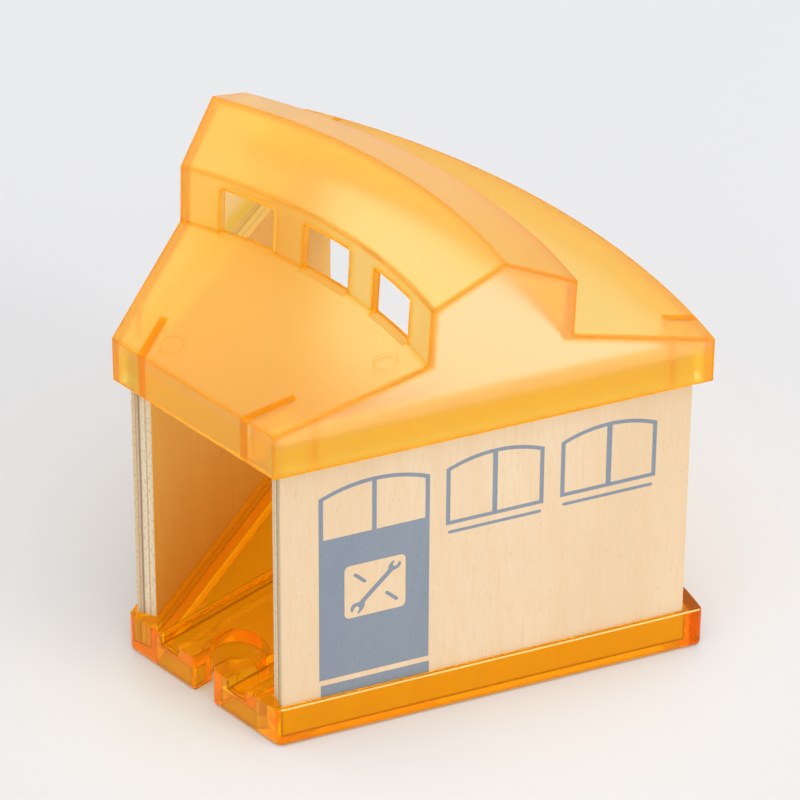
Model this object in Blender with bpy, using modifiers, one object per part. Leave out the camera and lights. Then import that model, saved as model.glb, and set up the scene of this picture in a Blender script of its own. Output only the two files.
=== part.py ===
"""Engine shed for a wooden railway: one 45 degree segment of a roundhouse.

Four pieces that push together without fasteners: a moulded track base, two plywood side
walls standing in its slots, and a moulded roof that sits over the tops of the walls.

Frame: metres, Z up. The underside of the base is at Z = 0, the track runs along Y, the front
opening faces -Y, and the shed is symmetric about the plane X = 0. The origin is the centre of
the shed's box, on the ground. Dimensions along Y are measured from the front end of the base,
and everything hangs from an empty that carries that front end to its place.
"""
import math

import bmesh
import bpy
from mathutils import Matrix, Vector

MM = 0.001
GAP = 0.3 * MM                       # clearance between neighbouring pieces

# --- plan of the wedge -----------------------------------------------------------------
HALF_ANGLE = math.radians(22.5)      # each side wall leans out this far from the track
ARC_CENTRE_Y = -91.0 * MM            # every curved eave and wall is an arc about this point
BASE_FRONT_HALF = 30.4 * MM
BASE_BACK_RADIUS = 221.5 * MM
BASE_HEIGHT = 12.5 * MM
CORNER_ROUND = 1.5 * MM              # upright corners of the base
FOOT_ROUND = 1.3 * MM                # its bottom edge
RIM_ROUND = 0.5 * MM                 # its top edge

# --- track (wooden railway standard) ---------------------------------------------------
TRACK_TOP = 12.0 * MM
CENTRE_HALF = 10.0 * MM              # raised strip between the two wheel grooves
GROOVE_WIDTH = 7.0 * MM
GROOVE_DEPTH = 3.4 * MM
NECK_HALF = 4.0 * MM                 # keyhole connector: entry, flare and round hole
NECK_FLARE = 0.7 * MM
HOLE_RADIUS = 7.0 * MM
HOLE_DISTANCE = 12.3 * MM            # from the end of the track to the hole's centre
LAND_HALF = 21.3 * MM                # flat in the curved back edge, where a next track butts

# --- moulding of the base --------------------------------------------------------------
SKIN = 2.2 * MM                      # wall thickness of both mouldings
BACK_EDGE_WALL = 3.2 * MM            # the base is thicker along its curved back edge
TRACK_FLOOR_UNDER = TRACK_TOP - GROOVE_DEPTH - 2.4 * MM
DECK_UNDER = TRACK_TOP - 2.4 * MM
TRACK_ZONE_HALF = CENTRE_HALF + GROOVE_WIDTH + SKIN

# --- plywood walls ---------------------------------------------------------------------
WALL_THICK = 6.0 * MM
WALL_INSET = 1.8 * MM                # from the side of the base to the wall's outer face
WALL_START = 1.6 * MM                # along the side, from the front corner of the base
WALL_LENGTH = 118.6 * MM
WALL_FOOT = 3.0 * MM                 # bottom of the wall, standing in its slot
WALL_TOP = 100.0 * MM

# --- roof ------------------------------------------------------------------------------
ROOF_OVERHANG = 1.9 * MM             # the gables stand this far outside the base's sides
ROOF_FRONT_Y = -1.8 * MM
SKIRT_BOTTOM = 91.4 * MM
EAVE_TOP = 105.0 * MM
CLERESTORY_BASE = 116.5 * MM
CLERESTORY_TOP = 133.6 * MM
RIDGE = 144.0 * MM
FRONT_WALL_RADIUS = (137.6 * MM, 138.6 * MM)    # bottom and top of the front clerestory wall
RIDGE_RADIUS = 159.2 * MM
BACK_WALL_RADIUS = (179.0 * MM, 179.6 * MM)     # bottom and top of the back clerestory wall
BACK_EAVE_RADIUS = 220.2 * MM
ARC_COLUMNS = 30
SLOPE_STEPS = 5                      # rows down the two lower slopes, which twist slightly
ROOF_EDGE_ROUND = 0.7 * MM

WINDOW_COUNT = 3
WINDOW_PITCH = math.radians(11.65)
WINDOW_WIDTH = 17.6 * MM
WINDOW_SILL = CLERESTORY_BASE - 0.4 * MM
WINDOW_HEAD = 130.0 * MM

CORNER_RIB_THICK = 1.6 * MM
CORNER_RIB_LENGTH = 8.4 * MM
CRUSH_RIB_WIDTH = 1.5 * MM
CRUSH_RIB_STATIONS = (10.0 * MM, 112.0 * MM)    # along the side, from the base's front corner
EJECTOR_RADIUS = 3.2 * MM
EJECTOR_DEPTH = 0.35 * MM
EJECTOR_PLACES = {"right": (33.7 * MM, 7.6 * MM), "left": (0.0, 15.4 * MM)}   # along, inset

SIDES = {"right": 1, "left": -1}


# --- scene helpers ---------------------------------------------------------------------
def clear_scene():
    for obj in list(bpy.data.objects):
        bpy.data.objects.remove(obj, do_unlink=True)


def collection(name):
    found = bpy.data.collections.get(name) or bpy.data.collections.new(name)
    if found.name not in bpy.context.scene.collection.children:
        bpy.context.scene.collection.children.link(found)
    return found


def plain_material(name, colour, roughness, transmission=0.0):
    mat = bpy.data.materials.new(name)
    mat.use_nodes = True
    shader = mat.node_tree.nodes["Principled BSDF"]
    shader.inputs["Base Color"].default_value = (*colour, 1.0)
    shader.inputs["Roughness"].default_value = roughness
    shader.inputs["Metallic"].default_value = 0.0
    shader.inputs["Transmission Weight"].default_value = transmission
    mat.diffuse_color = (*colour, 1.0)
    return mat


def add_object(name, mesh, into, mat=None):
    obj = bpy.data.objects.new(name, mesh)
    into.objects.link(obj)
    if mat:
        obj.data.materials.append(mat)
    return obj


def as_cutter(obj):
    obj.hide_render = True
    obj.display_type = "WIRE"
    return obj


def boolean(target, tool, operation):
    mod = target.modifiers.new(operation.title() + " " + tool.name, "BOOLEAN")
    mod.operation = operation
    mod.solver = "EXACT"
    mod.object = tool
    return mod


def bevel(obj, width, segments, angle=30.0):
    mod = obj.modifiers.new("Rounded edges", "BEVEL")
    mod.width = width
    mod.segments = segments
    mod.limit_method = "ANGLE"
    mod.angle_limit = math.radians(angle)
    mod.miter_outer = "MITER_ARC"
    return mod


def steep_edges(shape, chosen):
    """Edges of a closed shape whose faces turn by more than 30 degrees, filtered by a test."""
    return [edge for edge in shape.edges
            if edge.calc_face_angle() > math.radians(30) and chosen(edge)]


def round_edges(shape, edges, radius, segments):
    bmesh.ops.bevel(shape, geom=edges, offset=radius, segments=segments, profile=0.5,
                    affect="EDGES", clamp_overlap=True)


def rounded_prism_mesh(name, outline, low, high):
    """A prism with rounded upright corners, a well rounded foot and a crisper top rim."""
    mesh = prism_mesh(name, outline, low, high)
    shape = bmesh.new()
    shape.from_mesh(mesh)
    half = (high - low) / 2
    upright = steep_edges(shape, lambda e: abs(e.verts[0].co.z - e.verts[1].co.z) > half)
    round_edges(shape, upright, CORNER_ROUND, 3)
    for level, radius in ((low, FOOT_ROUND), (high, RIM_ROUND)):
        rim = steep_edges(shape, lambda e: all(abs(v.co.z - level) < 1e-6 for v in e.verts))
        round_edges(shape, rim, radius, 3)
    shape.to_mesh(mesh)
    shape.free()
    return mesh


def prism_mesh(name, outline, low, high):
    """A straight prism: the plan outline, extruded from one height to another."""
    shape = bmesh.new()
    ring = [shape.verts.new((x, y, low)) for x, y in outline]
    foot = shape.faces.new(ring)
    lifted = bmesh.ops.extrude_face_region(shape, geom=[foot])
    top = [item for item in lifted["geom"] if isinstance(item, bmesh.types.BMVert)]
    bmesh.ops.translate(shape, verts=top, vec=(0.0, 0.0, high - low))
    bmesh.ops.recalc_face_normals(shape, faces=shape.faces)
    mesh = bpy.data.meshes.new(name)
    shape.to_mesh(mesh)
    shape.free()
    return mesh


def box_mesh(name, size):
    shape = bmesh.new()
    bmesh.ops.create_cube(shape, size=1.0, matrix=Matrix.Diagonal((*size, 1.0)))
    mesh = bpy.data.meshes.new(name)
    shape.to_mesh(mesh)
    shape.free()
    return mesh


def disc_mesh(name, radius, depth, segments):
    shape = bmesh.new()
    bmesh.ops.create_cone(shape, cap_ends=True, segments=segments, radius1=radius,
                          radius2=radius, depth=depth)
    mesh = bpy.data.meshes.new(name)
    shape.to_mesh(mesh)
    shape.free()
    return mesh


# --- plan geometry ---------------------------------------------------------------------
def side_point(along, inset, side=1):
    """A plan point beside one slanted side of the base.

    along runs from the base's front corner towards the back, inset runs inwards from the
    side, square to it.
    """
    x = BASE_FRONT_HALF + along * math.sin(HALF_ANGLE) - inset * math.cos(HALF_ANGLE)
    y = along * math.cos(HALF_ANGLE) + inset * math.sin(HALF_ANGLE)
    return side * x, y


def side_x(y, inset=0.0):
    """Distance from the track's axis to the line parallel to the side, at height y in plan."""
    return BASE_FRONT_HALF - inset / math.cos(HALF_ANGLE) + y * math.tan(HALF_ANGLE)


def arc_corner(radius, inset=0.0):
    """Angle at which an arc about the common centre meets a line parallel to the side."""
    slope = math.tan(HALF_ANGLE)
    start = side_x(ARC_CENTRE_Y, inset)
    a = 1.0 + slope * slope
    b = start * slope
    c = start * start - radius * radius
    y = (-b + math.sqrt(b * b - a * c)) / a
    return math.atan2(start + slope * y, y)


def arc_point(radius, angle):
    return radius * math.sin(angle), ARC_CENTRE_Y + radius * math.cos(angle)


def wedge_outline(inset, front_y, back_radius, inner_half=None, land_half=0.0):
    """Plan outline between two slanted sides, a straight front and an arc at the back.

    With inner_half the outline is only the strip beyond that distance from the axis, on +X.
    With land_half the arc is cut straight across within that distance from the axis.
    """
    corner = arc_corner(back_radius, inset)
    if inner_half is None:
        first = -corner
        front = [(-side_x(front_y, inset), front_y), (side_x(front_y, inset), front_y)]
    else:
        first = math.asin(inner_half / back_radius)
        start_y = max(front_y, (inner_half - side_x(0.0, inset)) / math.tan(HALF_ANGLE))
        front = [(inner_half, start_y), (max(side_x(start_y, inset), inner_half), start_y)]
        if front[1][0] - front[0][0] < 0.1 * MM:
            front.pop()
    steps = ARC_COLUMNS if inner_half is None else ARC_COLUMNS // 2
    turns = [corner + (first - corner) * i / steps for i in range(steps + 1)]
    if land_half:
        edge = math.asin(land_half / back_radius)
        turns = [turn for turn in turns if abs(turn) > edge + 0.005] + [edge, -edge]
        turns.sort(reverse=True)
    return front + [arc_point(back_radius, turn) for turn in turns]


def keyhole_outline(grow=0.0, steps=28):
    """Keyhole connector seen from above, open at the front; grow widens it all round."""
    neck = NECK_HALF + grow
    radius = HOLE_RADIUS + grow
    meet = math.asin(neck / radius)
    points = []
    if grow == 0.0:
        for i in range(5):
            turn = math.pi / 2 * i / 4
            x = neck + NECK_FLARE * (1.0 - math.sin(turn))
            points.append((x, NECK_FLARE * (1.0 - math.cos(turn))))
        points.insert(0, (neck + NECK_FLARE, -2 * MM))
    else:
        points.append((neck, -2 * MM))
    for i in range(steps + 1):
        turn = -math.pi / 2 + meet + (2 * math.pi - 2 * meet) * i / steps
        points.append((radius * math.cos(turn), HOLE_DISTANCE + radius * math.sin(turn)))
    count = len(points) - steps - 1
    return points + [(-x, y) for x, y in reversed(points[:count])]


# --- track base ------------------------------------------------------------------------
def track_end_y():
    return ARC_CENTRE_Y + math.sqrt(BASE_BACK_RADIUS ** 2 - LAND_HALF ** 2)


def build_underside_cutter(cutters):
    """The hollow under the deck: low under the wheel grooves, higher beside them.

    A wall is left round the edge, along both wall slots and round each keyhole.
    """
    slot_wall = WALL_INSET + WALL_THICK + GAP + SKIN
    back = BASE_BACK_RADIUS - BACK_EDGE_WALL
    below = -5.0 * MM
    low = wedge_outline(slot_wall, SKIN, back)
    hollow = add_object("underside_hollow", prism_mesh("underside_hollow", low, below,
                                                       TRACK_FLOOR_UNDER), cutters)
    for side in (1, -1):
        strip = wedge_outline(slot_wall, SKIN, back, TRACK_ZONE_HALF)
        strip = [(side * x, y) for x, y in strip]
        name = "deck_hollow_right" if side > 0 else "deck_hollow_left"
        raised = add_object(name, prism_mesh(name, strip, below, DECK_UNDER), cutters)
        boolean(hollow, as_cutter(raised), "UNION")
    for name, flip in (("front", False), ("back", True)):
        ring = keyhole_outline(SKIN)
        if flip:
            ring = [(-x, track_end_y() - y) for x, y in ring]
        keep = add_object("keyhole_wall_" + name,
                          prism_mesh("keyhole_wall_" + name, ring, 2 * below, BASE_HEIGHT), cutters)
        boolean(hollow, as_cutter(keep), "DIFFERENCE")
    return as_cutter(hollow)


def build_groove_cutters(cutters):
    length = track_end_y() + 20 * MM
    centre = CENTRE_HALF + GROOVE_WIDTH / 2
    height = 2 * (BASE_HEIGHT - TRACK_TOP + GROOVE_DEPTH)
    for side in (1, -1):
        name = "wheel_groove_right" if side > 0 else "wheel_groove_left"
        groove = add_object(name, box_mesh(name, (GROOVE_WIDTH, length, height)), cutters)
        groove.location = (side * centre, track_end_y() / 2, BASE_HEIGHT)
        yield as_cutter(groove)


def build_deck_cutter(cutters):
    """Lowers the deck between the wall slots to the track's height."""
    rim = WALL_INSET + WALL_THICK + GAP + SKIN
    outline = wedge_outline(rim, -5 * MM, BASE_BACK_RADIUS + 5 * MM)
    deck = add_object("deck_level", prism_mesh("deck_level", outline, TRACK_TOP,
                                               BASE_HEIGHT + 5 * MM), cutters)
    return as_cutter(deck)


def wall_frame(side, along, inset, z):
    """Matrix with X across a wall (outwards), Y along it and Z up, at a point beside the side."""
    x, y = side_point(along, inset, side)
    return Matrix.Translation((x, y, z)) @ Matrix.Rotation(-side * HALF_ANGLE, 4, "Z")


def build_slot_cutter(side, name, cutters):
    size = (WALL_THICK + 2 * GAP, WALL_LENGTH + 2 * GAP, 2 * (BASE_HEIGHT - WALL_FOOT + GAP))
    slot = add_object(name + "_slot", box_mesh(name + "_slot", size), cutters)
    slot.matrix_world = wall_frame(side, WALL_START + WALL_LENGTH / 2,
                                   WALL_INSET + WALL_THICK / 2, BASE_HEIGHT)
    return as_cutter(slot)


def build_base(parts, cutters, mat):
    outline = wedge_outline(0.0, 0.0, BASE_BACK_RADIUS, land_half=LAND_HALF)
    mesh = rounded_prism_mesh("track_base", outline, 0.0, BASE_HEIGHT)
    base = add_object("track_base", mesh, parts, mat)
    boolean(base, build_deck_cutter(cutters), "DIFFERENCE")
    for groove in build_groove_cutters(cutters):
        boolean(base, groove, "DIFFERENCE")
    for name, side in SIDES.items():
        boolean(base, build_slot_cutter(side, name, cutters), "DIFFERENCE")
    boolean(base, build_underside_cutter(cutters), "DIFFERENCE")
    for name, flip in (("front_keyhole", False), ("back_keyhole", True)):
        hole = keyhole_outline()
        if flip:
            hole = [(-x, track_end_y() - y) for x, y in hole]
        cut = add_object(name, prism_mesh(name, hole, -5 * MM, BASE_HEIGHT + 5 * MM), cutters)
        boolean(base, as_cutter(cut), "DIFFERENCE")
    return base


# --- walls -----------------------------------------------------------------------------
def build_wall(name, side, parts, mat):
    size = (WALL_THICK, WALL_LENGTH, WALL_TOP - WALL_FOOT)
    wall = add_object(name + "_wall", box_mesh(name + "_wall", size), parts, mat)
    wall.matrix_world = wall_frame(side, WALL_START + WALL_LENGTH / 2,
                                   WALL_INSET + WALL_THICK / 2, (WALL_TOP + WALL_FOOT) / 2)
    bevel(wall, 0.3 * MM, 2)
    return wall


# --- roof ------------------------------------------------------------------------------
def roof_rows():
    """The roof's section from front to back: (radius of the arc or None for straight, height)."""
    return [
        (None, SKIRT_BOTTOM),
        (None, EAVE_TOP),
        (FRONT_WALL_RADIUS[0], CLERESTORY_BASE),
        (FRONT_WALL_RADIUS[1], CLERESTORY_TOP),
        (RIDGE_RADIUS, RIDGE),
        (BACK_WALL_RADIUS[1], CLERESTORY_TOP),
        (BACK_WALL_RADIUS[0], CLERESTORY_BASE),
        (BACK_EAVE_RADIUS, EAVE_TOP),
        (BACK_EAVE_RADIUS, SKIRT_BOTTOM),
    ]


def roof_grid():
    """Points of the roof's outer surface, in rows from front to back.

    The two lower slopes run from a straight or wide eave to a narrower arc, so they twist, and
    rows between keep their facets small.
    """
    rows = []
    before = None
    for radius, height in roof_rows():
        row = []
        for column in range(ARC_COLUMNS + 1):
            t = -1.0 + 2.0 * column / ARC_COLUMNS
            if radius is None:
                x, y = t * side_x(ROOF_FRONT_Y, -ROOF_OVERHANG), ROOF_FRONT_Y
            else:
                x, y = arc_point(radius, t * arc_corner(radius, -ROOF_OVERHANG))
            row.append(Vector((x, y, height)))
        if {before, height} == {EAVE_TOP, CLERESTORY_BASE}:
            start = rows[-1]
            for step in range(1, SLOPE_STEPS):
                rows.append([a.lerp(b, step / SLOPE_STEPS) for a, b in zip(start, row)])
        rows.append(row)
        before = height
    return rows


def build_roof_shell(parts, mat):
    """A loft over the rows of the section, closed by two flat gables, then given thickness."""
    shape = bmesh.new()
    grid = [[shape.verts.new(point) for point in row] for row in roof_grid()]
    for near, far in zip(grid, grid[1:]):
        for i in range(ARC_COLUMNS):
            shape.faces.new((near[i], near[i + 1], far[i + 1], far[i]))
    shape.faces.new([row[-1] for row in grid])
    shape.faces.new([row[0] for row in reversed(grid)])
    bmesh.ops.recalc_face_normals(shape, faces=shape.faces)
    mesh = bpy.data.meshes.new("roof")
    shape.to_mesh(mesh)
    shape.free()
    roof = add_object("roof", mesh, parts, mat)
    solid = roof.modifiers.new("Wall thickness", "SOLIDIFY")
    solid.thickness = SKIN
    solid.offset = -1.0
    solid.use_even_offset = True
    bevel(roof, ROOF_EDGE_ROUND, 2)
    return roof


def build_window_cutters(cutters):
    height = WINDOW_HEAD - WINDOW_SILL
    middle = (WINDOW_HEAD + WINDOW_SILL) / 2
    radius = sum(FRONT_WALL_RADIUS) / 2 + SKIN / 2
    for i in range(WINDOW_COUNT):
        angle = (i - (WINDOW_COUNT - 1) / 2) * WINDOW_PITCH
        name = "window_%d" % (i + 1)
        pane = add_object(name, box_mesh(name, (WINDOW_WIDTH, 4 * SKIN, height)), cutters)
        x, y = arc_point(radius, angle)
        pane.matrix_world = Matrix.Translation((x, y, middle)) @ Matrix.Rotation(-angle, 4, "Z")
        bevel(pane, 0.5 * MM, 2)
        yield as_cutter(pane)


def slope_under(x, y):
    """Height of the underside of the lower roof slopes above a plan point."""
    radius = math.hypot(x, y - ARC_CENTRE_Y)
    drop = SKIN * 1.03
    if radius > BACK_WALL_RADIUS[0]:
        span = BACK_EAVE_RADIUS - BACK_WALL_RADIUS[0]
        t = (BACK_EAVE_RADIUS - radius) / span
    else:
        wall_y = ARC_CENTRE_Y + math.sqrt(FRONT_WALL_RADIUS[0] ** 2 - x * x)
        t = (y - ROOF_FRONT_Y) / (wall_y - ROOF_FRONT_Y)
    return EAVE_TOP + (CLERESTORY_BASE - EAVE_TOP) * t - drop


def rib_mesh(name, corners, bottom, bite):
    """A plate or rib on a plan quadrilateral whose top follows the underside of the slope.

    bite is how far the top runs up into the roof's wall, so that the two join.
    """
    shape = bmesh.new()
    low = [shape.verts.new((x, y, bottom)) for x, y in corners]
    high = [shape.verts.new((x, y, slope_under(x, y) + bite)) for x, y in corners]
    shape.faces.new(low)
    shape.faces.new(high)
    for i in range(len(corners)):
        j = (i + 1) % len(corners)
        shape.faces.new((low[i], low[j], high[j], high[i]))
    bmesh.ops.recalc_face_normals(shape, faces=shape.faces)
    mesh = bpy.data.meshes.new(name)
    shape.to_mesh(mesh)
    shape.free()
    return mesh


def plan_strip(side, start, end, inset, width):
    corners = [(start, inset), (end, inset), (end, inset + width), (start, inset + width)]
    return [side_point(along, off, side) for along, off in corners]


def build_roof_ribs(roof, cutters):
    """Corner plates that hold the walls from inside, and crush ribs against their outer faces."""
    inner_face = WALL_INSET + WALL_THICK + GAP
    gable_inside = -ROOF_OVERHANG + SKIN
    bite = 0.8 * MM
    back_along = WALL_START + WALL_LENGTH
    for name, side in SIDES.items():
        front_start = (ROOF_FRONT_Y + SKIN / 2) / math.cos(HALF_ANGLE)
        front_start -= inner_face * math.tan(HALF_ANGLE)
        stations = {
            "front": (front_start, front_start + CORNER_RIB_LENGTH + 2 * SKIN),
            "back": (back_along - CORNER_RIB_LENGTH + 2 * MM, back_along + 0.9 * MM),
        }
        for end, (start, stop) in stations.items():
            strip = plan_strip(side, start, stop, inner_face, CORNER_RIB_THICK)
            label = "%s_%s_plate" % (name, end)
            plate = add_object(label, rib_mesh(label, strip, SKIRT_BOTTOM + 1 * MM, bite), cutters)
            boolean(roof, as_cutter(plate), "UNION")
        for i, along in enumerate(CRUSH_RIB_STATIONS):
            depth = WALL_INSET - GAP - gable_inside
            strip = plan_strip(side, along, along + CRUSH_RIB_WIDTH, gable_inside - bite,
                               depth + bite)
            label = "%s_crush_rib_%d" % (name, i + 1)
            rib = add_object(label, rib_mesh(label, strip, SKIRT_BOTTOM + 1 * MM, bite), cutters)
            boolean(roof, as_cutter(rib), "UNION")


def build_ejector_marks(roof, cutters):
    """Shallow round marks that the mould's pins leave on the underside of the front slope."""
    for name, (along, inset) in EJECTOR_PLACES.items():
        x, y = side_point(along, inset, SIDES[name])
        label = "%s_pin_mark" % name
        disc = add_object(label, disc_mesh(label, EJECTOR_RADIUS, 2 * EJECTOR_DEPTH, 24), cutters)
        step = 1 * MM
        rise_x = (slope_under(x + step, y) - slope_under(x - step, y)) / (2 * step)
        rise_y = (slope_under(x, y + step) - slope_under(x, y - step)) / (2 * step)
        normal = Vector((-rise_x, -rise_y, 1.0))
        turn = normal.to_track_quat("Z", "Y").to_matrix().to_4x4()
        disc.matrix_world = Matrix.Translation((x, y, slope_under(x, y))) @ turn
        boolean(roof, as_cutter(disc), "DIFFERENCE")


def build_roof(parts, cutters, mat):
    roof = build_roof_shell(parts, mat)
    build_roof_ribs(roof, cutters)
    build_ejector_marks(roof, cutters)
    for pane in build_window_cutters(cutters):
        boolean(roof, pane, "DIFFERENCE")
    return roof


def hang_from_origin(objects):
    """Parents everything to an empty that puts the middle of the shed's depth at Y = 0."""
    origin = bpy.data.objects.new("base_front_end", None)
    bpy.context.scene.collection.objects.link(origin)
    origin.location = (0.0, -(ROOF_FRONT_Y + track_end_y()) / 2, 0.0)
    for obj in objects:
        obj.parent = origin


def main():
    clear_scene()
    parts = collection("engine_shed")
    cutters = collection("cutters")
    clear_orange = plain_material("clear orange plastic", (0.95, 0.42, 0.03), 0.12, 0.6)
    frosted_orange = plain_material("frosted orange plastic", (0.96, 0.50, 0.10), 0.45, 0.4)
    birch = plain_material("birch plywood", (0.84, 0.65, 0.42), 0.6)
    build_base(parts, cutters, clear_orange)
    for name, side in SIDES.items():
        build_wall(name, side, parts, birch)
    build_roof(parts, cutters, frosted_orange)
    hang_from_origin(list(parts.objects) + list(cutters.objects))


main()
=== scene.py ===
"""Looks of the toy railway engine shed: plastics, plywood, printed graphics, light and camera."""
import math

import bpy
from mathutils import Matrix, Vector


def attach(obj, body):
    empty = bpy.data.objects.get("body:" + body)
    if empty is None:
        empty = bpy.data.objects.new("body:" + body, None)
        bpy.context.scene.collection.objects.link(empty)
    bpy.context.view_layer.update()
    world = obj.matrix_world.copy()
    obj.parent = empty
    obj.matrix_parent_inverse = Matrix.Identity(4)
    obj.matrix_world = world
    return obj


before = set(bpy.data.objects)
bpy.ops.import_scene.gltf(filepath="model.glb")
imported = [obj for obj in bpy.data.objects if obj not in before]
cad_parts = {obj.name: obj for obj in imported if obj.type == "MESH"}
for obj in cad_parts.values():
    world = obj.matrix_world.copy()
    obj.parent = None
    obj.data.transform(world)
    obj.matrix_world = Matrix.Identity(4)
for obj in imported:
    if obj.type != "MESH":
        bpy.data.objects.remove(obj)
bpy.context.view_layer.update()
MM = 0.001
SIDES = {"right": 1, "left": -1}
LEAN = math.radians(22.5)              # each wall leans out this far from the track


# --- node helpers ----------------------------------------------------------------------
class Nodes:
    """Short hand for building one material's node tree."""

    def __init__(self, name):
        self.material = bpy.data.materials.new(name)
        self.material.use_nodes = True
        self.tree = self.material.node_tree
        self.shader = self.tree.nodes["Principled BSDF"]
        self.output = self.tree.nodes["Material Output"]

    def add(self, kind, **settings):
        node = self.tree.nodes.new(kind)
        for key, value in settings.items():
            setattr(node, key, value)
        return node

    def link(self, source, target):
        self.tree.links.new(source, target)

    def put(self, socket, value):
        """Links a socket, or sets a plain value."""
        if isinstance(value, bpy.types.NodeSocket):
            self.link(value, socket)
        else:
            socket.default_value = value

    def math(self, operation, a, b=0.0):
        node = self.add("ShaderNodeMath", operation=operation)
        self.put(node.inputs[0], a)
        self.put(node.inputs[1], b)
        return node.outputs[0]

    def ramp(self, factor, stops):
        """A colour for each (place, colour) stop, and straight blends between them."""
        node = self.add("ShaderNodeValToRGB")
        points = node.color_ramp.elements
        points[0].position = stops[0][0]
        points[1].position = stops[-1][0]
        for place, _ in stops[1:-1]:
            points.new(place)
        for point, (_, colour) in zip(points, stops):
            point.color = (*colour, 1.0) if len(colour) == 3 else colour
        self.link(factor, node.inputs[0])
        return node.outputs[0]

    def mix(self, factor, a, b, blend="MIX"):
        node = self.add("ShaderNodeMix", data_type="RGBA", blend_type=blend)
        self.put(node.inputs[0], factor)
        self.put(node.inputs[6], a)
        self.put(node.inputs[7], b)
        return node.outputs[2]

    def noise(self, vector, scale, detail=2.0, roughness=0.5, distortion=0.0):
        node = self.add("ShaderNodeTexNoise")
        node.inputs["Scale"].default_value = scale
        node.inputs["Detail"].default_value = detail
        node.inputs["Roughness"].default_value = roughness
        node.inputs["Distortion"].default_value = distortion
        self.link(vector, node.inputs["Vector"])
        return node.outputs[0]

    def stretch(self, vector, scale):
        node = self.add("ShaderNodeMapping")
        node.inputs["Scale"].default_value = scale
        self.link(vector, node.inputs["Vector"])
        return node.outputs[0]

    def bump(self, height, distance, strength=1.0):
        node = self.add("ShaderNodeBump")
        node.inputs["Strength"].default_value = strength
        node.inputs["Distance"].default_value = distance
        self.link(height, node.inputs["Height"])
        self.link(node.outputs[0], self.shader.inputs["Normal"])

    def height(self):
        """Height above the floor, in metres."""
        parts = self.add("ShaderNodeSeparateXYZ")
        self.link(self.add("ShaderNodeTexCoord").outputs["Object"], parts.inputs[0])
        return parts.outputs[2]

    def span(self, value, zero, one):
        """0 to 1 as the value goes from zero to one, and flat outside."""
        node = self.add("ShaderNodeMapRange", interpolation_type="SMOOTHSTEP")
        node.inputs["From Min"].default_value = zero
        node.inputs["From Max"].default_value = one
        self.link(value, node.inputs["Value"])
        return node.outputs[0]

    def creases(self, radius, first, full):
        """0 on flat areas to 1 within a radius of an edge, from how far a rounded normal turns."""
        rounded = self.add("ShaderNodeBevel", samples=6)
        rounded.inputs["Radius"].default_value = radius
        plain = self.add("ShaderNodeNewGeometry")
        turn = self.add("ShaderNodeVectorMath", operation="DOT_PRODUCT")
        self.link(rounded.outputs[0], turn.inputs[0])
        self.link(plain.outputs["Normal"], turn.inputs[1])
        away = self.math("SUBTRACT", 1.0, turn.outputs["Value"])
        return self.ramp(away, [(first, (0.0,) * 3), (full, (1.0,) * 3)])

    def absorb(self, colour, density):
        node = self.add("ShaderNodeVolumeAbsorption")
        node.inputs["Color"].default_value = (*colour, 1.0)
        node.inputs["Density"].default_value = density
        self.link(node.outputs[0], self.output.inputs["Volume"])

    def set(self, **values):
        for key, value in values.items():
            self.shader.inputs[key.replace("_", " ")].default_value = value


# --- walls -----------------------------------------------------------------------------
FACE_STOPS = [(0.70, (0.0,) * 3), (0.86, (1.0,) * 3)]   # tells broad faces from edges
TOP_PAINTED_LIGHT = (0.95, 0.80, 0.56, 1.0)     # painted light on the top edge, lighter than the ends
TOP_LIGHT_STRENGTH = 0.5
PAINTED_GLOW_SPAN = (0.065, 0.015)             # heights between which the painted orange light on the inner faces deepens, in metres
PAINTED_GLOW_HIGH = (1.22, 1.02, 0.40, 1.0)    # painted orange light on the inner faces above them
PAINTED_GLOW_LOW = (1.16, 0.80, 0.18, 1.0)     # and below, where the painted light from the orange base is deeper


def wall_frame(node, side):
    """Matrix from (along the wall, up, out of its outer face) to the frame, from the mesh."""
    along = Vector((side * math.sin(LEAN), math.cos(LEAN), 0.0))
    out = Vector((side * math.cos(LEAN), -math.sin(LEAN), 0.0))
    points = [v.co for v in node.data.vertices]
    start = min(p.dot(along) for p in points)
    face = max(p.dot(out) for p in points)
    origin = along * start + out * face
    up = Vector((0.0, 0.0, 1.0))
    matrix = Matrix((along, up, out)).transposed().to_4x4()
    return Matrix.Translation(origin) @ matrix


def wood_vector(n, side, origin):
    """Object coordinates turned into the wall's own: X out of the face, Y along, Z up."""
    place = n.add("ShaderNodeTexCoord")
    turn = n.add("ShaderNodeMapping", vector_type="TEXTURE")
    turn.inputs["Location"].default_value = origin
    turn.inputs["Rotation"].default_value = (0.0, 0.0, -side * LEAN)
    n.link(place.outputs["Object"], turn.inputs["Vector"])
    return turn.outputs[0]


def grain(n, vector):
    """Fine upright fibres, short pores and slow drifts of tone, each 0 to 1."""
    fibre = n.noise(n.stretch(vector, (900.0, 900.0, 90.0)), 1.0, 3.0, 0.6)
    fleck = n.noise(n.stretch(vector, (1700.0, 1700.0, 420.0)), 1.0, 1.0, 0.5)
    slow = n.noise(n.stretch(vector, (22.0, 22.0, 7.0)), 1.0, 3.0, 0.55, 0.4)
    return fibre, fleck, slow


def flames(n, vector):
    """The broad wavy figure of rotary-cut birch, 0 to 1."""
    rings = n.add("ShaderNodeTexWave", wave_type="BANDS", bands_direction="Y")
    rings.inputs["Scale"].default_value = 9.0
    rings.inputs["Distortion"].default_value = 14.0
    rings.inputs["Detail"].default_value = 2.0
    rings.inputs["Detail Scale"].default_value = 0.6
    n.link(n.stretch(vector, (1.0, 2.4, 0.75)), rings.inputs["Vector"])
    return rings.outputs["Fac"]


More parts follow.
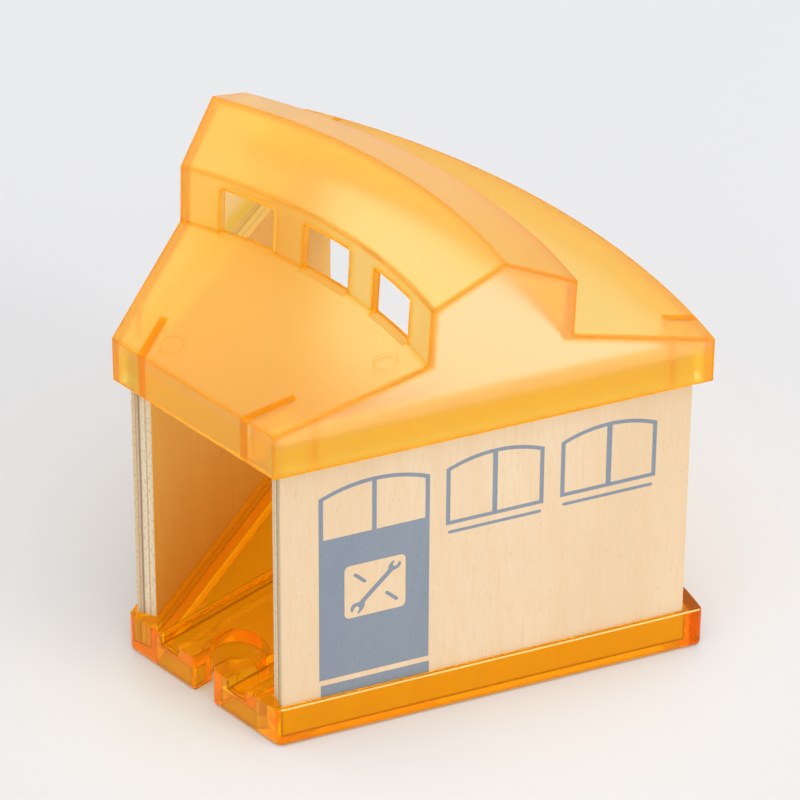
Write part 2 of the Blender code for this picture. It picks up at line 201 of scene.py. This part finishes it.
def face_colour(n, vector):
    """Colour of the outer ply, with the fibre and fleck that its surface follows."""
    fibre, fleck, slow = grain(n, vector)
    base = n.ramp(slow, [(0.30, (0.715, 0.525, 0.322)), (0.52, (0.755, 0.570, 0.367)),
                         (0.72, (0.775, 0.602, 0.400))])
    base = n.mix(n.ramp(fibre, [(0.30, (0.55,) * 3), (0.55, (0.0,) * 3)]), base,
                 (0.730, 0.500, 0.285, 1.0))
    base = n.mix(n.math("MULTIPLY", n.math("POWER", flames(n, vector), 5.0), 0.24), base,
                 (0.745, 0.505, 0.290, 1.0))
    base = n.mix(n.ramp(fleck, [(0.24, (0.38,) * 3), (0.36, (0.0,) * 3)]), base,
                 (0.560, 0.360, 0.190, 1.0))
    return base, fibre, fleck


def ply_colour(n, vector, side, thick):
    """Colour across the thickness, where the plies end: light long grain, darker end grain."""
    parts = n.add("ShaderNodeSeparateXYZ")
    n.link(vector, parts.inputs[0])
    depth = n.math("MULTIPLY", parts.outputs[0], -side / thick)
    wobble = n.noise(n.stretch(vector, (40.0, 60.0, 26.0)), 1.0, 2.0)
    depth = n.math("ADD", depth, n.math("MULTIPLY", n.math("SUBTRACT", wobble, 0.5), 0.05))
    stops = [(0.00, (0.80, 0.61, 0.37)), (0.19, (0.76, 0.56, 0.33)), (0.215, (0.42, 0.30, 0.18)),
             (0.25, (0.72, 0.55, 0.35)), (0.33, (0.66, 0.49, 0.30)), (0.355, (0.33, 0.22, 0.13)),
             (0.42, (0.42, 0.29, 0.17)), (0.45, (0.84, 0.70, 0.48)), (0.66, (0.90, 0.77, 0.54)),
             (0.69, (0.62, 0.43, 0.24)), (0.73, (0.68, 0.48, 0.28)), (0.76, (0.88, 0.75, 0.53)),
             (1.00, (0.86, 0.69, 0.45))]
    layers = n.ramp(depth, stops)
    speck = n.noise(n.stretch(vector, (1500.0, 1500.0, 700.0)), 1.0, 2.0, 0.6)
    return n.mix(n.ramp(speck, [(0.34, (0.42,) * 3), (0.50, (0.0,) * 3)]), layers,
                 (0.42, 0.30, 0.19, 1.0))


def plywood(name, side, matrix, thick):
    """Faces of birch, plies on the ends, painted light on the top, and painted orange light on the
    face inside the shed.
    """
    n = Nodes(name)
    vector = wood_vector(n, side, matrix.translation)
    face, fibre, fleck = face_colour(n, vector)
    layers = ply_colour(n, vector, side, thick)
    shape = n.add("ShaderNodeNewGeometry")
    turned = n.add("ShaderNodeVectorRotate", rotation_type="Z_AXIS")
    turned.inputs["Angle"].default_value = side * LEAN
    n.link(shape.outputs["Normal"], turned.inputs["Vector"])
    facing = n.add("ShaderNodeSeparateXYZ")
    n.link(turned.outputs[0], facing.inputs[0])
    on_face = n.ramp(n.math("ABSOLUTE", facing.outputs[0]), FACE_STOPS)
    # Painted light on the faces turned up: their plies blend towards a lighter tone.
    layers = n.mix(n.math("MULTIPLY", n.span(facing.outputs[2], 0.6, 0.9), TOP_LIGHT_STRENGTH), layers,
                   TOP_PAINTED_LIGHT)
    inner = n.ramp(n.math("MULTIPLY", facing.outputs[0], -float(side)), FACE_STOPS)
    # Painted orange light on the inner faces, deeper near the base.
    painted_glow = n.mix(n.span(n.height(), *PAINTED_GLOW_SPAN), PAINTED_GLOW_HIGH, PAINTED_GLOW_LOW)
    face = n.mix(inner, face, n.mix(1.0, face, painted_glow, "MULTIPLY"))
    n.link(n.mix(on_face, layers, face), n.shader.inputs["Base Color"])
    n.link(n.ramp(fibre, [(0.2, (0.62,) * 3), (0.8, (0.50,) * 3)]), n.shader.inputs["Roughness"])
    n.bump(n.math("ADD", n.math("MULTIPLY", fibre, 0.6), n.math("MULTIPLY", fleck, 0.5)),
           0.00005, 0.6)
    n.set(Specular_IOR_Level=0.35)
    return n.material


# --- printed graphics ------------------------------------------------------------------
# Outlines are in mm: along the wall from the base's front corner, and up from the floor.
WALL_START = 1.6                       # where the wall itself starts
PANE_STEPS = 12
INK_DEPTH = 0.012 * MM
INK_LIFT = 0.02 * MM


def ink(name, side, matrix):
    """Matt screen-printed ink that lets a little of the grain through."""
    n = Nodes(name)
    vector = wood_vector(n, side, matrix.translation)
    fibre, fleck, slow = grain(n, vector)
    tone = n.ramp(slow, [(0.3, (0.208, 0.250, 0.306)), (0.7, (0.244, 0.277, 0.322))])
    tone = n.mix(n.ramp(fibre, [(0.28, (0.5,) * 3), (0.5, (0.0,) * 3)]), tone,
                 (0.215, 0.238, 0.275, 1.0))
    tone = n.mix(n.ramp(fleck, [(0.22, (0.55,) * 3), (0.33, (0.0,) * 3)]), tone,
                 (0.130, 0.140, 0.165, 1.0))
    worn = n.noise(n.stretch(vector, (1300.0, 1300.0, 500.0)), 1.0, 2.0)
    tone = n.mix(n.ramp(worn, [(0.70, (0.0,) * 3), (0.78, (0.35,) * 3)]), tone,
                 (0.60, 0.50, 0.38, 1.0))
    n.link(tone, n.shader.inputs["Base Color"])
    n.bump(n.math("ADD", n.math("MULTIPLY", fibre, 0.6), n.math("MULTIPLY", fleck, 0.4)),
           0.00004, 0.6)
    n.set(Roughness=0.58, Specular_IOR_Level=0.3)
    return n.material


def arched(left, right, low, high, rise, steps=20):
    """Outline of a panel with a shallow arched head: jambs up to high, rise in the middle."""
    half = (right - left) / 2
    radius = (half * half + rise * rise) / (2 * rise)
    centre = high + rise - radius
    reach = math.asin(half / radius)
    points = [(left, low), (right, low)]
    for i in range(steps + 1):
        turn = reach - 2 * reach * i / steps
        points.append((left + half + radius * math.sin(turn), centre + radius * math.cos(turn)))
    return points


def pane(left, right, low, inset, span):
    """One pane under an arched head: span gives the whole opening's arch, inset from outside."""
    outer_left, outer_right, high, rise = span
    half = (outer_right - outer_left) / 2
    radius = (half * half + rise * rise) / (2 * rise)
    centre_x = outer_left + half
    centre_y = high + rise - radius
    points = [(left, low), (right, low)]
    for i in range(PANE_STEPS + 1):
        x = right + (left - right) * i / PANE_STEPS
        points.append((x, centre_y + math.sqrt((radius - inset) ** 2 - (x - centre_x) ** 2)))
    return points


def rounded_box(left, right, low, high, radius, steps=6):
    """Outline of a box with round corners."""
    points = []
    corners = [(right - radius, high - radius, 0), (left + radius, high - radius, 90),
               (left + radius, low + radius, 180), (right - radius, low + radius, 270)]
    for x, y, start in corners:
        for i in range(steps + 1):
            turn = math.radians(start + 90 * i / steps)
            points.append((x + radius * math.cos(turn), y + radius * math.sin(turn)))
    return points


def bar(start, end, width, steps=5):
    """A straight stroke with round ends."""
    (x0, y0), (x1, y1) = start, end
    heading = math.atan2(y1 - y0, x1 - x0)
    points = []
    for x, y, turned in ((x1, y1, -90), (x0, y0, 90)):
        for i in range(steps + 1):
            turn = heading + math.radians(turned + 180 * i / steps)
            points.append((x + width / 2 * math.cos(turn), y + width / 2 * math.sin(turn)))
    return points


# One closed line, starting at the tip of the lower head's left jaw.
SPANNER = [
    (21.75, 39.05), (21.50, 40.05), (21.75, 41.00), (22.35, 41.65), (23.25, 41.85),
    (24.10, 42.00), (27.60, 45.65), (32.00, 50.15), (32.35, 50.75), (32.35, 51.40),
    (32.65, 52.15), (33.25, 52.85), (33.95, 53.30), (34.15, 52.90), (33.75, 52.25),
    (33.75, 51.65), (34.20, 51.25), (34.80, 51.40), (35.15, 52.00), (35.55, 52.55),
    (35.90, 52.45), (36.05, 51.80), (35.85, 51.05), (35.30, 50.50), (34.60, 50.20),
    (34.00, 50.05), (33.30, 49.45), (28.50, 44.55), (25.95, 41.90), (25.60, 41.25),
    (25.60, 40.40), (25.25, 39.55), (24.55, 38.65), (23.75, 38.05), (23.45, 38.40),
    (23.95, 39.25), (24.05, 40.00), (23.70, 40.55), (23.15, 40.65), (22.70, 40.25),
    (22.40, 39.55), (22.10, 39.00),
]


def door_outlines():
    """The door, its two panes, and the sign with a spanner between two strokes."""
    left, right, low, high, rise = 12.5, 44.2, 18.0, 79.0, 3.5
    line, transom = 1.25, 65.1
    span = (left, right, high, rise)
    return [
        arched(left, right, low, high, rise),
        pane(left + line, 27.7, transom, line, span),
        pane(29.0, right - line, transom, line, span),
        rounded_box(19.8, 37.4, 37.1, 54.7, 1.6),
        SPANNER,
        bar((22.9, 51.3), (25.6, 48.6), 1.05),
        bar((32.0, 43.0), (34.8, 40.15), 1.05),
    ]


def window_outlines(left, right, low, high, rise, bars):
    """A window of two panes, with the glazing bar between the two places in bars."""
    line = 1.2
    span = (left, right, high, rise)
    return [
        arched(left, right, low, high, rise),
        pane(left + line, bars[0], low + line, line, span),
        pane(bars[1], right - line, low + line, line, span),
    ]


GRAPHICS = {
    "door": door_outlines(),
    "door_sill": [rounded_box(12.9, 44.4, 11.2, 16.2, 0.15)],
    "front_window": window_outlines(48.9, 77.2, 60.8, 79.4, 3.2, (62.3, 63.7)),
    "front_window_sill": [bar((50.0, 58.3), (76.1, 58.3), 1.0)],
    "back_window": window_outlines(82.1, 110.1, 61.3, 79.5, 3.2, (95.4, 96.9)),
    "back_window_sill": [bar((83.3, 58.7), (108.8, 58.7), 1.0)],
}


def printed(name, outlines, matrix):
    """A thin layer of ink with holes, laid on the outer face of a wall."""
    curve = bpy.data.curves.new(name, "CURVE")
    curve.dimensions = "2D"
    curve.fill_mode = "BOTH"
    curve.extrude = INK_DEPTH
    for outline in outlines:
        spline = curve.splines.new("POLY")
        spline.points.add(len(outline) - 1)
        spline.use_cyclic_u = True
        for point, (x, y) in zip(spline.points, outline):
            point.co = ((x - WALL_START) * MM, y * MM, 0.0, 1.0)
    shaper = bpy.data.objects.new(name + "_shaper", curve)
    bpy.context.scene.collection.objects.link(shaper)
    bpy.context.view_layer.update()
    mesh = bpy.data.meshes.new_from_object(shaper)
    bpy.data.objects.remove(shaper)
    mesh.transform(matrix @ Matrix.Translation((0.0, 0.0, INK_LIFT)))
    if matrix.determinant() < 0:
        mesh.flip_normals()
    mesh.name = name
    piece = bpy.data.objects.new(name, mesh)
    bpy.context.scene.collection.objects.link(piece)
    return piece


def dress_walls():
    """Gives each wall its plywood, and lays the prints on its outer face."""
    for name, side in SIDES.items():
        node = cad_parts[name + "_wall"]
        matrix = wall_frame(node, side)
        out = matrix.to_3x3().col[2]
        depths = [v.co.dot(out) for v in node.data.vertices]
        thick = max(depths) - min(depths)
        node.data.materials.clear()
        node.data.materials.append(plywood(name + " plywood", side, matrix, thick))
        coat = ink(name + " ink", side, matrix)
        for label, outlines in GRAPHICS.items():
            piece = printed("%s_printed_%s" % (name, label), outlines, matrix)
            piece.data.materials.clear()
            piece.data.materials.append(coat)
            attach(piece, name + "_side")


# --- plastics --------------------------------------------------------------------------
# Lengths are in metres, and colours are linear. The places are those of the CAD part.
PLATE_LINE = 0.0436                    # middle of the corner plates, across from the axis
PLATE_HALF = (0.0018, 0.0008)          # half width, where the tone starts and where it is full
PLATE_FRONT = -0.0388                  # the front plates end here, along the side
PLATE_BACK = 0.0666                    # and the back plates start here
PLATE_FADE = 0.0006
PIN_MARKS = ((0.0363, -0.0298), (-0.0161, -0.0580))     # middle of each mark, x and y
PIN_RADIUS = 0.0032
PIN_RING = (0.0004, 0.0001)            # distance from the rim, where it starts and is full
PIN_STRENGTH = 0.35
SLOT_END = 0.0738                      # solid plastic lies beyond the back end of each wall
SLOT_FADE = 0.0008
SKIRT_SHADE_HEIGHTS = (0.1035, 0.0995)       # painted shade: the roof is deeper below, where wood stands behind it
BASE_SHADE_HEIGHTS = (0.0120, 0.0112)   # painted shade: the base's creases are dark below its rounded top edges
RIM_HEIGHT = 0.0115                    # those top edges lie above this

SLOPE_AMBER = (1.0, 0.84, 0.40, 1.0)
# painted light on the gables, paler than the slopes
GABLE_PAINTED_LIGHT = (1.0, 0.86, 0.60, 1.0)
# painted shade on the skirt, where wood stands behind
SKIRT_PAINTED_SHADE = (1.0, 0.83, 0.24, 1.0)
# painted shade in creases and over the corner plates, and the real pin rings
SHADE_AND_PIN_AMBER = (1.0, 0.44, 0.0, 1.0)
CLEAR_ORANGE = (1.0, 0.68, 0.04, 1.0)
SOLID_ORANGE = (0.55, 0.20, 0.0, 1.0)
CREASE_SHADE_BROWN = (0.22, 0.03, 0.0, 1.0)
DYE = (1.0, 0.80, 0.0)
PLASTIC_IOR = 1.36


def moulded_finish(n, roughness, spread, texture_scale, bump_depth):
    """Slight unevenness of roughness and surface, as on any moulding."""
    place = n.add("ShaderNodeTexCoord").outputs["Object"]
    slow = n.noise(place, 45.0, 2.0)
    fine = n.noise(place, texture_scale, 2.0)
    low, high = roughness - spread, roughness + spread
    n.link(n.ramp(slow, [(0.3, (low,) * 3), (0.7, (high,) * 3)]), n.shader.inputs["Roughness"])
    n.bump(fine, bump_depth)


def beside_walls(n):
    """Distances across and along the nearer side wall, in metres from the axis and middle."""
    parts = n.add("ShaderNodeSeparateXYZ")
    n.link(n.add("ShaderNodeTexCoord").outputs["Object"], parts.inputs[0])
    x = n.math("ABSOLUTE", parts.outputs[0])
    y = parts.outputs[1]
    sine, cosine = math.sin(LEAN), math.cos(LEAN)
    across = n.math("SUBTRACT", n.math("MULTIPLY", x, cosine), n.math("MULTIPLY", y, sine))
    along = n.math("ADD", n.math("MULTIPLY", x, sine), n.math("MULTIPLY", y, cosine))
    return across, along


def pin_marks(n):
    """Faint rings on the front slope, over the marks of the mould's pins."""
    place = n.stretch(n.add("ShaderNodeTexCoord").outputs["Object"], (1.0, 1.0, 0.0))
    rings = []
    for x, y in PIN_MARKS:
        reach = n.add("ShaderNodeVectorMath", operation="DISTANCE")
        n.link(place, reach.inputs[0])
        reach.inputs[1].default_value = (x, y, 0.0)
        edge = n.math("ABSOLUTE", n.math("SUBTRACT", reach.outputs["Value"], PIN_RADIUS))
        rings.append(n.span(edge, *PIN_RING))
    return n.math("MULTIPLY", n.math("ADD", *rings), PIN_STRENGTH)


def plate_shade(n):
    """1 over the four plates inside the roof's corners, where the moulding is deep, for painted
    shade there.
    """
    across, along = beside_walls(n)
    band = n.span(n.math("ABSOLUTE", n.math("SUBTRACT", across, PLATE_LINE)), *PLATE_HALF)
    ends = n.math("ADD", n.span(along, PLATE_FRONT + PLATE_FADE, PLATE_FRONT),
                  n.span(along, PLATE_BACK - PLATE_FADE, PLATE_BACK))
    return n.math("MULTIPLY", band, ends)


def frosted_plastic():
    """Amber, lightly frosted, with painted shade where a wall is seen edge-on, over the corner
    plates and where wood stands behind, painted light on the gables, and a painted glow.
    """
    n = Nodes("frosted orange plastic")
    facing = n.add("ShaderNodeSeparateXYZ")
    n.link(n.add("ShaderNodeNewGeometry").outputs["Normal"], facing.inputs[0])
    # Painted light: faces turned sideways, the gables, get a paler amber.
    gable = n.span(n.math("ABSOLUTE", facing.outputs[0]), 0.7, 0.9)
    body = n.mix(gable, SLOPE_AMBER, GABLE_PAINTED_LIGHT)
    # Painted shade on the skirt, low down where wood stands behind.
    body = n.mix(n.span(n.height(), *SKIRT_SHADE_HEIGHTS), body, SKIRT_PAINTED_SHADE)
    plates = n.math("MULTIPLY", plate_shade(n), n.math("SUBTRACT", 1.0, gable))
    # Painted shade along the creases and over the corner plates; the pin rings are real marks of
    # the mould.
    deep = n.math("MAXIMUM", n.creases(0.0025, 0.005, 0.10), plates)
    deep = n.math("MAXIMUM", deep, pin_marks(n))
    n.link(n.mix(deep, body, SHADE_AND_PIN_AMBER), n.shader.inputs["Base Color"])
    # The emission is a painted glow: the plastic is no lamp.
    n.set(Transmission_Weight=0.88, IOR=PLASTIC_IOR, Specular_Tint=(1.0, 0.65, 0.1, 1.0),
          Emission_Color=(1.0, 0.50, 0.0, 1.0), Emission_Strength=0.075)
    moulded_finish(n, 0.295, 0.015, 2600.0, 0.000012)
    n.absorb(DYE, 110.0)
    return n.material


def clear_plastic():
    """Polished orange, with painted red-brown shade along its corners, red-brown in the solid ends
    of the base, and a painted glow.
    """
    n = Nodes("clear orange plastic")
    # Painted shade in the creases below the rounded top edges.
    edge = n.math("MULTIPLY", n.creases(0.0014, 0.01, 0.15), n.span(n.height(), *BASE_SHADE_HEIGHTS))
    along = beside_walls(n)[1]
    body = n.mix(n.span(along, SLOT_END, SLOT_END + SLOT_FADE), CLEAR_ORANGE, SOLID_ORANGE)
    n.link(n.mix(edge, body, CREASE_SHADE_BROWN), n.shader.inputs["Base Color"])
    # The emission is a painted glow: the plastic is no lamp.
    n.set(Transmission_Weight=0.92, IOR=PLASTIC_IOR, Specular_Tint=(1.0, 0.5, 0.0, 1.0),
          Emission_Color=(1.0, 0.40, 0.0, 1.0), Emission_Strength=0.065)
    moulded_finish(n, 0.035, 0.012, 700.0, 0.000004)
    n.absorb(DYE, 100.0)
    return n.material


def rim_highlight():
    """The rounded top edge of the base's sides, with a painted highlight: a pale line where it
    would catch the light.
    """
    n = Nodes("orange plastic painted rim highlight")
    fine = n.noise(n.add("ShaderNodeTexCoord").outputs["Object"], 900.0, 2.0)
    n.link(n.ramp(fine, [(0.3, (1.0, 0.62, 0.20)), (0.7, (1.0, 0.70, 0.28))]),
           n.shader.inputs["Base Color"])
    n.set(Transmission_Weight=0.3, IOR=PLASTIC_IOR, Roughness=0.2)
    return n.material


def paint_rim_highlights(mesh):
    """Gives the faces of the rounded top edge, along each side of the base, the painted rim
    highlight material.
    """
    mesh.materials.append(rim_highlight())
    for face in mesh.polygons:
        outward = abs(face.normal.x) * math.cos(LEAN) - face.normal.y * math.sin(LEAN)
        on_side = outward > 0.1 and face.normal.x * face.center.x > 0.0
        rounded = 0.3 < face.normal.z < 0.98 and outward > 0.9 * math.hypot(*face.normal[:2])
        face.material_index = 1 if on_side and rounded and face.center.z > RIM_HEIGHT else 0


def dress_plastics():
    """Replaces the materials of the two mouldings."""
    for node, material in (("roof", frosted_plastic()), ("track_base", clear_plastic())):
        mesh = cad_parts[node].data
        mesh.materials.clear()
        mesh.materials.append(material)
    paint_rim_highlights(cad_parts["track_base"].data)


# --- surroundings ----------------------------------------------------------------------
FLOOR_HALF = 6.0
FLOOR_DROP = 0.0002                    # keeps the floor just clear of the base
FLOOR_TONE = (0.585, 0.588, 0.597, 1.0)
NEAR_PAINTED_LIGHT = (0.69, 0.678, 0.664, 1.0)  # painted pool of warm light beside the plastics, lighter and warmer there
NEAR_LIGHT_REACH = (0.05, 0.19)              # reach of the painted light, from the middle of the floor
SKY_COLOUR = (0.985, 0.99, 1.0, 1.0)
SKY_HORIZON = 0.24                     # brightness of the studio round the floor
SKY_ZENITH = 2.2                       # and straight above
SKY_POWER = 1.5                        # how late it brightens on the way up
SKY_TILT = (0.3, -0.15, 0.0)           # how much brighter the right and the front are
SIDE_PLACE = (1.5, 0.25, 0.55)
SIDE_TARGET = (0.0, 0.0, 0.06)
SIDE_SIZE = 0.5
SIDE_POWER = 8.0
CLEAR_BOUNCES = 32
OTHER_BOUNCES = 12


def build_floor():
    mesh = bpy.data.meshes.new("floor")
    corners = ((-1, -1), (1, -1), (1, 1), (-1, 1))
    mesh.from_pydata([(x * FLOOR_HALF, y * FLOOR_HALF, 0) for x, y in corners], [], [(0, 1, 2, 3)])
    floor = bpy.data.objects.new("floor", mesh)
    bpy.context.scene.collection.objects.link(floor)
    floor.location.z = -FLOOR_DROP
    n = Nodes("pale floor")
    away = n.add("ShaderNodeVectorMath", operation="LENGTH")
    n.link(n.add("ShaderNodeTexCoord").outputs["Object"], away.inputs[0])
    # Painted pool of warm light on the floor near the plastics.
    n.link(n.mix(n.span(away.outputs["Value"], *NEAR_LIGHT_REACH), NEAR_PAINTED_LIGHT, FLOOR_TONE),
           n.shader.inputs["Base Color"])
    n.set(Roughness=0.85, Specular_IOR_Level=0.1)
    mesh.materials.append(n.material)


def build_side_light():
    """A square soft light, low on the right."""
    data = bpy.data.lights.new("side", "AREA")
    data.shape = "SQUARE"
    data.size = SIDE_SIZE
    data.energy = SIDE_POWER
    light = bpy.data.objects.new("side", data)
    bpy.context.scene.collection.objects.link(light)
    light.location = SIDE_PLACE
    heading = Vector(SIDE_TARGET) - Vector(SIDE_PLACE)
    light.rotation_euler = heading.to_track_quat("-Z", "Y").to_euler()


def build_sky():
    """A studio that is bright above and dim round the floor."""
    world = bpy.data.worlds.new("studio")
    world.use_nodes = True
    tree = world.node_tree
    sky = tree.nodes["Background"]
    sky.inputs["Color"].default_value = SKY_COLOUR

    def maths(operation, first, second):
        node = tree.nodes.new("ShaderNodeMath")
        node.operation = operation
        for socket, value in zip(node.inputs, (first, second)):
            if isinstance(value, float):
                socket.default_value = value
            else:
                tree.links.new(value, socket)
        return node.outputs[0]

    direction = tree.nodes.new("ShaderNodeTexCoord").outputs["Generated"]
    parts = tree.nodes.new("ShaderNodeSeparateXYZ")
    tree.links.new(direction, parts.inputs[0])
    tilt = tree.nodes.new("ShaderNodeVectorMath")
    tilt.operation = "DOT_PRODUCT"
    tilt.inputs[1].default_value = SKY_TILT
    tree.links.new(direction, tilt.inputs[0])
    above = maths("POWER", maths("MAXIMUM", parts.outputs[2], 0.0), SKY_POWER)
    level = maths("ADD", maths("MULTIPLY", above, SKY_ZENITH - SKY_HORIZON), SKY_HORIZON)
    tilted = maths("ADD", tilt.outputs["Value"], 1.0)
    tree.links.new(maths("MULTIPLY", level, tilted), sky.inputs["Strength"])
    bpy.context.scene.world = world


def build_camera():
    """A long lens, 35 degrees above and 46 degrees round to the right of the track's axis."""
    around = math.radians(-45.71)
    down = math.radians(35.32)
    roll = math.radians(0.35)
    distance = 1.4343
    target = Vector((0.0, 0.01089, 0.06352))
    look = Vector((math.cos(down) * math.sin(around), math.cos(down) * math.cos(around),
                   -math.sin(down)))
    right = Vector((math.cos(around), -math.sin(around), 0.0))
    up = right.cross(look)
    turned_right = right * math.cos(roll) + up * math.sin(roll)
    turned_up = up * math.cos(roll) - right * math.sin(roll)
    data = bpy.data.cameras.new("camera")
    data.lens = 234.0
    data.sensor_width = 36.0
    camera = bpy.data.objects.new("camera", data)
    bpy.context.scene.collection.objects.link(camera)
    axes = Matrix((turned_right, turned_up, -look)).transposed().to_4x4()
    camera.matrix_world = Matrix.Translation(target - look * distance) @ axes
    bpy.context.scene.camera = camera


def set_bounces():
    """Enough bounces for light to pass through both mouldings and the hollows in them."""
    bounces = bpy.context.scene.cycles
    bounces.max_bounces = CLEAR_BOUNCES
    bounces.transmission_bounces = CLEAR_BOUNCES
    bounces.diffuse_bounces = OTHER_BOUNCES
    bounces.glossy_bounces = OTHER_BOUNCES


dress_walls()
dress_plastics()
build_floor()
build_sky()
build_side_light()
build_camera()
set_bounces()
bpy.context.scene.view_settings.view_transform = "Standard"
